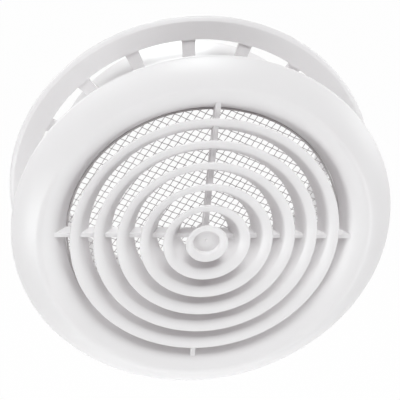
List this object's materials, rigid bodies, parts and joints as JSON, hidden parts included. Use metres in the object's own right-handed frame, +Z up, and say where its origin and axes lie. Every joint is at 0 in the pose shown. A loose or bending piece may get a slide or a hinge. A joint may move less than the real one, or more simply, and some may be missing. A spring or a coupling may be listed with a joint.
{
  "type": "round vent cover",
  "caption": "Round duct vent cover: flared louvre rings on crossed spokes over an insect screen, with legs that slide into a slotted flange frame with a duct spigot.",
  "frame": {"origin": "on the duct's axis, at the plane of the flange's rear face, which lies on the wall", "axes": "front faces -Y, the duct runs along +Y, +Z up, spokes along X and Z"},
  "size_m": [0.2, 0.087, 0.2],
  "materials": {
    "white_plastic": "satin moulded plastic",
    "screen_grey": "matt coated yarn"
  },
  "bodies": {
    "frame": {"mounting_frame": "white_plastic"},
    "face": {"front_grille": "white_plastic", "insect_screen": "screen_grey"}
  },
  "joints": [
    {"name": "face_slide", "type": "slide", "parent": "frame", "child": "face", "axis": [0, 1, 0], "range_m": [0, 0.0445]}
  ]
}
